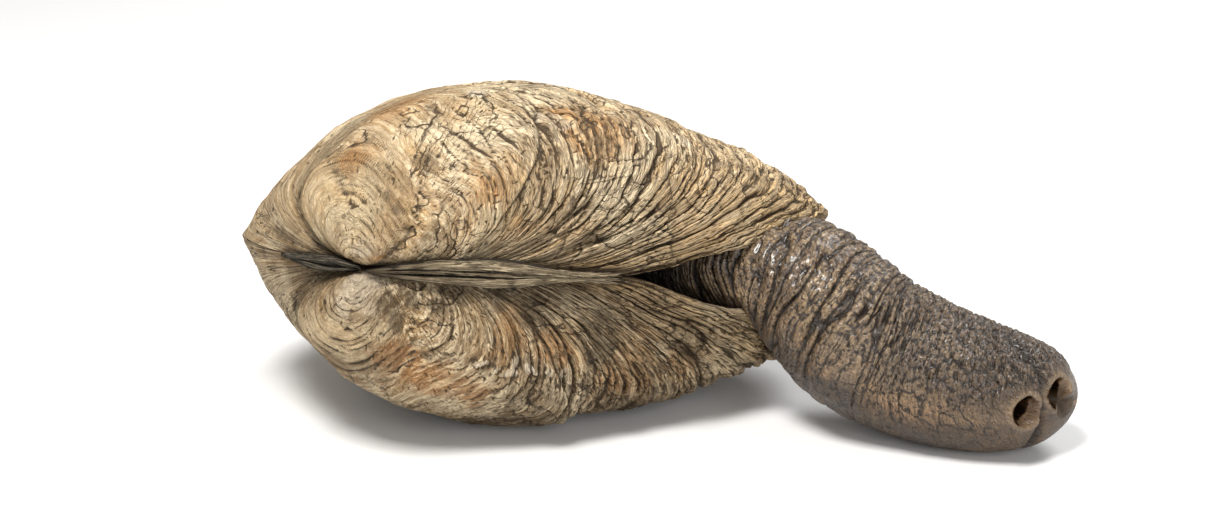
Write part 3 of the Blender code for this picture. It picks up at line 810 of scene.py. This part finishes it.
def siphon_skin(material):
    """The siphon: an ellipse carried along its path and square to it. Furrows run round the neck and
    part it into folds, small bumps in rows cover the top, and the end goes in at two mouths and the
    cleft between them."""
    path = even_along(curve_through(SIPHON, 900), SIPHON_RINGS)
    centres = path[:, :3]
    ahead = unit(np.gradient(centres, axis=0))
    sides = unit(np.cross(ahead, (0.0, 0.0, 1.0)))
    ups = np.cross(sides, ahead)
    angle = np.linspace(0.0, 2.0 * math.pi, SIPHON_SIDES, endpoint=False) - 0.5 * math.pi
    run = run_along(centres)[:, None]
    wide = sides[:, None] * (path[:, 3:4] * np.cos(angle))[..., None]
    tall = ups[:, None] * (path[:, 4:5] * np.sin(angle))[..., None]
    face = centres[:, None] + wide + tall
    normal = unit(face - centres[:, None])
    arc = angle[None] * SIPHON_RADIUS + 0.0 * run
    rise = np.sin(angle)[None] + 0.0 * run
    top = ease(0.0, 0.75, rise)
    low = ease(0.0, -0.8, rise)
    gone = run / run[-1, 0]
    neck = ease(0.18, 0.28, gone) * ease(0.80, 0.52, gone)
    late = ease(0.50, 0.75, gone)
    sway = 5.0 * (layers_over(face, 17.0, 201, 2) - 0.5)
    shake = 1.6 * (layers_over(face, 3.5, 211, 2) - 0.5)
    slant = run + 4.0 * rise + sway
    across = SIPHON_RADIUS * np.cos(angle)[None]
    lift = SIPHON_RADIUS * rise
    fold = layers(slant / 2.9, across / 30.0, lift / 30.0, 202, 2)
    fold_depth = layers(run / 14.0, across / 11.0, lift / 11.0, 212, 2)
    crease = layers((slant + shake) / 1.5, across / 11.0, lift / 11.0, 203, 2)
    web = layers((slant + shake) / 3.4, (across + 1.5 * shake) / 3.6, lift / 3.6, 209, 3)
    near, next_near, _ = cells((slant + 0.6 * shake) / 2.0, (arc + 0.6 * shake) / 2.5, 204)
    bead = np.clip(1.0 - (near / 0.78) ** 2, 0.0, 1.0)
    near_b, _, _ = cells((slant - shake) / 0.95, (arc + shake) / 1.05, 205)
    grit = np.clip(1.0 - (near_b / 0.8) ** 2, 0.0, 1.0)
    lumps = layers_over(face, 8.0, 206, 4) - 0.5
    folds = creased(fold, 0.075)
    creases = creased(crease, 0.12)
    webs = creased(web, 0.09)
    fold_share = (0.25 + 1.25 * neck) * (1.0 - 0.5 * late)
    fold_share = fold_share * (0.5 + 0.9 * ease(0.35, 0.6, fold_depth)) * (1.0 - 0.5 * low)
    height = (folds - 0.75) * fold_share
    height += (creases - 0.6) * (0.20 + 0.34 * neck) * (1.0 - 0.6 * low) * (1.0 - 0.6 * late * top)
    beaded = 0.12 + (0.65 + 0.45 * late) * ease(-0.1, 0.6, rise)
    height += (bead - 0.5) * beaded * (0.10 + 0.90 * ease(0.34, 0.55, gone))
    height += (grit - 0.5) * (0.05 + 0.20 * top * (0.3 + 0.7 * late))
    height += (webs - 0.8) * 0.45 * (0.30 + 0.70 * late) * (1.0 - 0.8 * top) * (1.0 - 0.75 * low)
    height += lumps * 0.8
    end_fade = ease(0.0, 7.0, run[-1] - run)
    height *= (0.15 + 0.85 * end_fade) * ease(-0.2, 3.0, face[..., 2])

    face_way = np.array((math.cos(FACE_TURN), -math.sin(FACE_TURN), 0.0))
    side_way = np.array((math.sin(FACE_TURN), math.cos(FACE_TURN), 0.0))
    near_end = ease(run[-1] - 30.0, run[-1] - 22.0, run)
    bare = np.zeros(face.shape[:2])
    for mouth in MOUTHS:
        gap = face - np.array(mouth)
        far = np.hypot(gap @ side_way, gap[..., 2])
        ahead_of_face = ease(-11.0, -6.0, gap @ face_way)
        bare = np.maximum(bare, near_end * ease(9.0, 5.5, far) * ahead_of_face)
    face = face + normal * (height * (1.0 - 0.85 * bare))[..., None]
    rim = np.zeros(face.shape[:2])
    deep = np.zeros(face.shape[:2])
    lip_skin = np.zeros(face.shape[:2])
    for mouth in MOUTHS:
        gap = face - np.array(mouth)
        level = gap @ side_way / 0.95
        height_up = gap[..., 2] / 1.05
        far = np.hypot(level, height_up)
        turn = np.arctan2(height_up, level)
        facing = near_end * ease(-10.0, -6.0, gap @ face_way)
        inner_lip = 2.5 * ease(-0.35, 0.95, np.cos(turn + 0.55))
        hole = MOUTH_WIDE - inner_lip
        ribs = 0.5 + 0.5 * np.cos(turn * 20.0)
        lip = 0.9 * np.exp(-((far - MOUTH_WIDE - 0.9) / 0.95) ** 2)
        ledge = ease(MOUTH_WIDE + 0.2, MOUTH_WIDE - 0.7, far) * (1.7 + 0.6 * ribs)
        bore = ease(hole, hole - 0.6, far)
        face = face + face_way * (facing * (lip - ledge - bore * MOUTH_DEEP))[..., None]
        rim = np.maximum(rim, facing * ease(MOUTH_WIDE + 2.3, MOUTH_WIDE + 0.6, far))
        # deep: where the mouths' bores are painted near black as shade
        deep = np.maximum(deep, facing * ease(hole + 0.75, hole + 0.15, far))
        lip_skin = np.maximum(lip_skin, facing * ease(MOUTH_WIDE + 0.6, MOUTH_WIDE - 0.2, far))
    middle = (np.array(MOUTHS[0]) + np.array(MOUTHS[1])) / 2.0
    gap = face - middle
    level = gap @ side_way
    bend = 0.5 * np.sin(gap[..., 2] / 4.0)
    cleft = np.exp(-((level - bend) / (0.8 + 0.05 * np.abs(gap[..., 2]))) ** 2) * near_end
    cleft *= ease(-24.0, -6.0, gap @ face_way) * ease(19.0, 10.0, np.abs(gap[..., 2]))
    face = face - face_way * (cleft * 2.4)[..., None]
    shadow = near_end * np.exp(-((level - bend + 1.0) / 3.2) ** 2) * ease(1.0, 6.0, gap[..., 2])

    # dip: painted shade in hollows and in the cleft, painted highlight on raised skin
    dip = (blurred(height, 2) - height) / 0.20 + (blurred(height, 16) - height) / 0.7
    dip = np.clip(dip, -1.0, 1.0) * (1.0 - bare)
    dip = np.maximum(dip, cleft)
    face[..., 2] = np.maximum(face[..., 2], 0.03)
    wet = ease(0.62, 0.30, gone) * ease(-0.1, 0.6, rise)
    wet = np.maximum(wet, 0.65 * late * top)
    rows = capped(face)
    warm = ease(0.45, 0.0, np.abs(rise + 0.15)) * ease(0.40, 0.55, gone)
    brown = ease(-0.15, 0.35, rise + 0.05 * sway) * ease(0.58, 0.85, gone)
    # Dark brown on the top of the end, plus painted shadow beside the cleft between the mouths
    brown = np.maximum(brown, shadow) * (1.0 - 0.9 * rim)
    black = ease(0.27, 0.13, gone)
    skin = {
        "dip": dip, "low": low, "wet": wet, "rim": rim, "deep": deep, "fold": 2.0 * fold - 1.0,
        "fold_share": np.clip(fold_share, 0.0, 1.0), "web": 2.0 * web - 1.0, "bead": next_near - near,
        "lip": lip_skin, "top": top, "warm": warm, "brown": brown, "shade": black + 0.0 * rise,
    }
    fields = {"lay": flat_place(ended(slant), angle * SIPHON_RADIUS)}
    fields.update((title, ended(values).ravel()) for title, values in skin.items())
    points = rows.reshape(-1, 3) + (BEAK[0], BEAK[1], 0.0)
    faces = grid_faces(len(rows), SIPHON_SIDES)
    return new_piece("siphon_skin", points, faces, "siphon", material, fields, flip=True)


def strand(name, look, seed, stations, early_dark):
    """A strand in the hinge groove: an ellipse along its stations, its face ribbed lengthwise by
    fibres, worn here and there, and torn thin at the back end."""
    path = even_along(curve_through(stations, STRAND_CURVE), STRAND_RINGS)
    angle = np.linspace(0.0, 2.0 * math.pi, STRAND_SIDES, endpoint=False)
    run = path[:, :1] - path[0, 0]
    share = run / run[-1, 0]
    place = angle[None] + 0.7 * (layers(run / 10.0, 0.0, 0.0, seed, 3) - 0.5)
    fibre = layers(run / 16.0, np.cos(place) * 3.2, np.sin(place) * 3.2, seed + 1, 2)
    fibre = creased(fibre, 0.22) - 0.5
    worn = layers(run / 3.5, np.cos(place) * 1.2, np.sin(place) * 1.2, seed + 2, 4) - 0.5
    radius = 1.0 + 0.30 * fibre + 0.60 * worn
    torn = layers(np.cos(place) * 2.0, np.sin(place) * 2.0, 0.0, seed + 3, 2)
    radius = radius * (1.0 - 0.8 * ease(0.88, 1.0, share + 0.35 * (torn - 0.5)))
    across = path[:, 1:2] - path[:, 4:5] * radius * np.cos(angle)
    out = path[:, 2:3] + path[:, 3:4] * radius * np.sin(angle)
    along = path[:, :1] + 0.0 * out
    face = np.stack((along, across, out), axis=-1)
    # Painted shade along the strand's top and bottom edges where it meets the valves, in worn hollows
    # and between fibres
    low_edge = ease(0.45, 0.90, np.abs(np.sin(angle)[None] - 0.10)) + 0.0 * place
    dip = np.clip(np.maximum(0.95 * low_edge, -2.6 * worn + 0.7 * (0.5 - fibre) - 0.3), 0.0, 1.0)
    early = ease(0.42, 0.10, share) * early_dark + 0.0 * place
    rows = capped(face)
    fields = {"lay": flat_place(ended(run), 1.6 * ended(place) + seed), "dip": ended(dip).ravel(),
              "early": ended(early).ravel()}
    points = lie(rows.reshape(-1, 3))
    material, node = look
    faces = grid_faces(len(rows), STRAND_SIDES)
    return new_piece(name, points, faces, node, material, fields, flip=True)


def fibres(name, look, seed, count, stations, starts, reach, stray, thick):
    """Loose fibres: thin round threads that leave a strand's face, wander a little and taper."""
    material, node = look
    random = np.random.default_rng(seed)
    share = np.linspace(0.0, 1.0, FIBRE_RINGS)
    angle = np.linspace(0.0, 2.0 * math.pi, FIBRE_SIDES, endpoint=False)
    body = curve_through(stations, STRAND_CURVE)
    all_points = []
    all_faces = []
    lays = []
    for order in range(count):
        begin = random.uniform(*starts)
        x = begin + random.uniform(*reach) * share
        middle_y, middle_z, half_z, half_y = [np.interp(x, body[:, 0], part) for part in body.T[1:]]
        lane = random.uniform(-0.95, 0.95)
        drift = random.uniform(-0.5, 0.5)
        lane_now = np.clip(lane + drift * share, -1.0, 1.0)
        wave = random.uniform(-1.0, 1.0) * np.sin(share * random.uniform(2.0, 5.0))
        z = middle_z + half_z * lane_now + stray * (random.uniform(-1.0, 1.0) * share**2 + 0.25 * wave)
        y = middle_y - half_y * np.sqrt(1.0 - 0.95 * lane_now**2) * 0.98
        y = y - random.uniform(0.0, 1.0) * stray * np.sin(share * math.pi * 0.8)
        radius = thick * random.uniform(0.6, 1.3) * (1.0 - 0.8 * share**2)
        radius[0] = 0.0
        radius[-1] = 0.0
        ring_y = y[:, None] + radius[:, None] * np.cos(angle)
        ring_z = z[:, None] + radius[:, None] * np.sin(angle)
        ring_x = x[:, None] + 0.0 * ring_y
        all_faces.append(grid_faces(FIBRE_RINGS, FIBRE_SIDES) + order * FIBRE_RINGS * FIBRE_SIDES)
        all_points.append(np.stack((ring_x, ring_y, ring_z), axis=-1).reshape(-1, 3))
        lays.append(flat_place(x[:, None], order * 1.7 + angle * 0.3))
    points = lie(np.concatenate(all_points))
    fields = {"lay": np.concatenate(lays), "dip": np.zeros(len(points)), "early": np.zeros(len(points))}
    return new_piece(name, points, np.concatenate(all_faces), node, material, fields)


# Shell colours: tan, cream, gold, ochre, brown, dark
UPPER_COLOURS = (
    (0.55, 0.38, 0.205), (0.84, 0.69, 0.46), (0.64, 0.41, 0.17),
    (0.50, 0.255, 0.085), (0.25, 0.168, 0.092), (0.028, 0.016, 0.008),
)
LOWER_COLOURS = (
    (0.32, 0.212, 0.110), (0.84, 0.685, 0.45), (0.46, 0.28, 0.11),
    (0.34, 0.155, 0.05), (0.16, 0.105, 0.055), (0.020, 0.012, 0.006),
)
upper_finish = shell_finish("upper_shell", 1, *UPPER_COLOURS)
lower_finish = shell_finish("lower_shell", 5, *LOWER_COLOURS)
# Scarps: distance round the valve's edge, growth line that the scarp follows there
UPPER_SCARP = (
    (60, 47), (79, 44), (110, 41), (134, 42), (146, 47), (160, 52), (176, 56), (197, 61), (220, 66),
    (270, 74),
)
LOWER_SCARP = (
    (60, 58), (110, 56), (141, 60), (160, 66), (200, 74), (270, 84),
)
# Patches on the valves: place along, across and out, radius, strength
UPPER_MARKS = {
    "ochre": (
        (2, -9, 3.5, 2, 0.9), (54, 16, 38, 9, 0.75), (3, 22, 39, 9, 0.55), (-7, 6, 28, 6, 0.6),
        (62, 20, 36, 8, 0.5), (84, 24, 27, 7, 0.35), (30, -4, 21, 7, 0.5), (40, 0, 12, 6, 0.35),
        (20, 60, 48, 20, 0.45), (-28, 40, 14, 10, 0.4),
    ),
    "stain": (
        (10, -9, 12, 3, 1), (21, -3, 7.5, 2.2, 0.9), (4, -9, 6, 1.5, 0.8), (-22, 12, 3.5, 5, 0.9),
        (-15, 6, 1.5, 4, 0.9), (-30, 25, 8, 7, 0.6), (0, 7, 33, 5, 0.55), (17, 18, 42, 6, 0.55),
        (14, -3, 29, 4.5, 0.8), (8, -9, 17, 3.6, 0.9), (7, -9, 12, 3.4, 0.8),
        (16, -6.5, 11, 5, 0.65), (23, 12, 40, 4.5, 0.5), (57, 14, 34, 6, 0.65),
        (44, 6, 28, 6, 0.65), (52, 4, 18, 6, 0.6), (70, 14, 22, 6, 0.6), (36, 2, 20, 5, 0.65),
        (-30, 18, 8, 8, 0.55), (-25, 14, 16, 5, 0.45), (100, 32, 26, 8, 0.5),
        (60, 70, 40, 22, 0.45), (10, 85, 20, 14, 0.45),
    ),
    "chalk": (
        (-1, -7, 5.5, 5, 0.9), (-5, -7, 8, 5, 0.6), (-7, -5, 14, 8, 0.25), (35, 8, 34, 6, 0.45),
        (12, 10, 38, 8, 0.35), (75, 16, 22, 8, 0.3),
    ),
    "flake": (
        (44.5, 13, 38, 5.5, 1), (24, 20, 43, 4, 0.8), (80, 30, 34, 5, 0.7), (10, 70, 38, 9, 0.8),
        (-20, 50, 30, 8, 0.7),
    ),
}
LOWER_MARKS = {
    "ochre": (
        (9, -6, 24, 6, 0.7), (17, -2, 29, 7, 0.7), (27, 1, 32, 7, 0.55), (37, -1, 12, 6, 0.75),
        (49, 3, 18, 8, 0.75), (66, 16, 26, 10, 0.65), (36, 0, 19, 6, 0.7), (82, 22, 22, 8, 0.55),
        (20, 60, 40, 20, 0.35),
    ),
    "stain": (
        (12.5, -6, 7, 3.4, 1.2), (18.5, -4.5, 8, 2.6, 1.15), (8, -7, 5.5, 2.4, 1),
        (24, -2, 6, 3, 0.9), (2.5, -8, 2.5, 1.6, 0.9), (5, -9, 8, 3, 0.9), (9, -9, 12, 4, 0.9),
        (13, -8, 18, 3.6, 0.85), (15, -7, 22, 3, 0.8), (22, -3, 5, 6, 0.8), (32, -1, 7, 7, 0.75),
        (45, 2, 9, 8, 0.8), (60, 8, 14, 9, 0.85), (84, 16, 16, 10, 0.8), (74, 14, 24, 7, 0.7),
        (106, 31, 20, 9, 0.8), (40, 13, 39, 14, 0.5), (-28, 24, 6, 8, 0.4),
    ),
    "chalk": (
        (-2, -7, 5, 6.5, 1.15), (-5, -6, 9, 6.5, 0.9), (1, -8, 9, 5, 0.8),
    ),
    "flake": (
        (29.5, -3, 23, 2.4, 0.85), (33.5, -2, 24, 2.2, 0.9), (37.5, -0.5, 24.7, 2.2, 0.95),
        (41.5, 1, 25, 2.3, 0.9), (45.5, 2.5, 25, 2.2, 0.9), (49.5, 4, 25, 2, 0.85),
    ),
}
valve("upper_valve_shell", "upper_valve", upper_finish, UPPER_GAPE, 1.0, 11,
      UPPER_SCARP, UPPER_MARKS, 1.2, 1.5)
valve("lower_valve_shell", "lower_valve", lower_finish, LOWER_GAPE, -1.0, 53,
      LOWER_SCARP, LOWER_MARKS, 0.8, 0.6)
siphon_skin(siphon_finish())
# Materials of the fibrous pieces, dark, middle and light, each with its node
HINGE = (fibre_finish("ligament_fibre", (0.125, 0.088, 0.050), (0.37, 0.285, 0.175),
                      (0.66, 0.54, 0.36)), "ligament")
FRONT = (fibre_finish("dried_strip", (0.035, 0.029, 0.021), (0.100, 0.084, 0.060),
                      (0.27, 0.225, 0.16)), "front_strip")
# Strands: name, look, seed, stations, how dark it starts
for row in (
    ("ligament_upper", HINGE, 301, UPPER_STRAND, 0.8),
    ("ligament_middle", HINGE, 311, MIDDLE_STRAND, 0.9),
    ("ligament_lower", HINGE, 321, LOWER_STRAND, 1.0),
    ("front_strip_upper", FRONT, 341, FRONT_UPPER, 0.0),
    ("front_strip_lower", FRONT, 351, FRONT_LOWER, 0.0),
):
    strand(*row)
# Loose fibres: name, look, seed, count, strand, first and last start, reach, stray, thickness
for row in (
    ("front_threads", FRONT, 405, 46, FRONT_UPPER, (-24.0, -9.0), (4.0, 9.0), 0.55, 0.20),
    ("ligament_threads", HINGE, 401, 60, UPPER_STRAND, (12.0, 44.0), (8.0, 20.0), 0.25, 0.16),
    ("ligament_low_threads", HINGE, 403, 50, LOWER_STRAND, (12.0, 44.0), (8.0, 20.0), 0.25, 0.15),
    ("ligament_frayed_end", HINGE, 402, 60, UPPER_STRAND, (46.0, 57.0), (4.0, 9.5), 0.9, 0.24),
    ("ligament_frayed_low", HINGE, 404, 50, LOWER_STRAND, (46.0, 57.0), (4.0, 9.0), 0.9, 0.22),
):
    fibres(*row)

# Stage: a plain pale floor, soft light from the upper left, and the photo's camera
floor_mesh = bpy.data.meshes.new("floor")
floor_mesh.from_pydata([(-3, -3, 0), (3, -3, 0), (3, 3, 0), (-3, 3, 0)], [], [(0, 1, 2, 3)])
floor = bpy.data.objects.new("floor", floor_mesh)
floor_look = bpy.data.materials.new("floor")
floor_look.use_nodes = True
floor_shader = floor_look.node_tree.nodes["Principled BSDF"]
floor_shader.inputs["Base Color"].default_value = (0.82, 0.82, 0.82, 1.0)
floor_shader.inputs["Roughness"].default_value = 0.8
floor_mesh.materials.append(floor_look)
bpy.context.scene.collection.objects.link(floor)

world = bpy.data.worlds.new("studio")
world.use_nodes = True
sky = world.node_tree.nodes["Background"]
sky.inputs["Color"].default_value = (1.0, 1.0, 1.0, 1.0)
sky.inputs["Strength"].default_value = 0.30
bpy.context.scene.world = world


def soft_light(name, place, target, width, power, colour=(1.0, 1.0, 1.0)):
    """A square soft light at a place, turned to a target."""
    data = bpy.data.lights.new(name, "AREA")
    data.shape = "SQUARE"
    data.size = width
    data.energy = power
    data.color = colour
    item = bpy.data.objects.new(name, data)
    item.location = place
    item.rotation_mode = "QUATERNION"
    item.rotation_quaternion = (Vector(target) - Vector(place)).to_track_quat("-Z", "Y")
    bpy.context.scene.collection.objects.link(item)


soft_light("key_light", (-0.22, -0.42, 0.92), (0.0, 0.0, 0.03), 0.28, 11.9, (1.0, 0.98, 0.95))
soft_light("fill_light", (0.45, -0.95, 0.38), (0.03, 0.0, 0.03), 0.8, 5.8, (1.0, 0.99, 0.98))
soft_light("back_light", (0.50, 0.35, 0.80), (0.03, 0.0, 0.03), 0.5, 6.5)
bpy.context.scene.view_settings.view_transform = "Standard"

CAMERA_HEIGHT = math.radians(20.0)
CAMERA_FAR = 750.0
SENSOR_WIDTH = 36.0
PHOTO_WIDTH = 1224.0
PHOTO_FOCAL = 2722.0
target = BEAK + (61.96, 45.0, -14.59)
back = np.array((0.0, -math.cos(CAMERA_HEIGHT), math.sin(CAMERA_HEIGHT)))
camera_data = bpy.data.cameras.new("camera")
camera_data.sensor_width = SENSOR_WIDTH
camera_data.lens = PHOTO_FOCAL * SENSOR_WIDTH / PHOTO_WIDTH
camera_data.clip_start = 0.01
camera = bpy.data.objects.new("camera", camera_data)
camera.location = (target + back * CAMERA_FAR) * MM
camera.rotation_mode = "QUATERNION"
camera.rotation_quaternion = Vector(-back).to_track_quat("-Z", "Y")
bpy.context.scene.collection.objects.link(camera)
bpy.context.scene.camera = camera
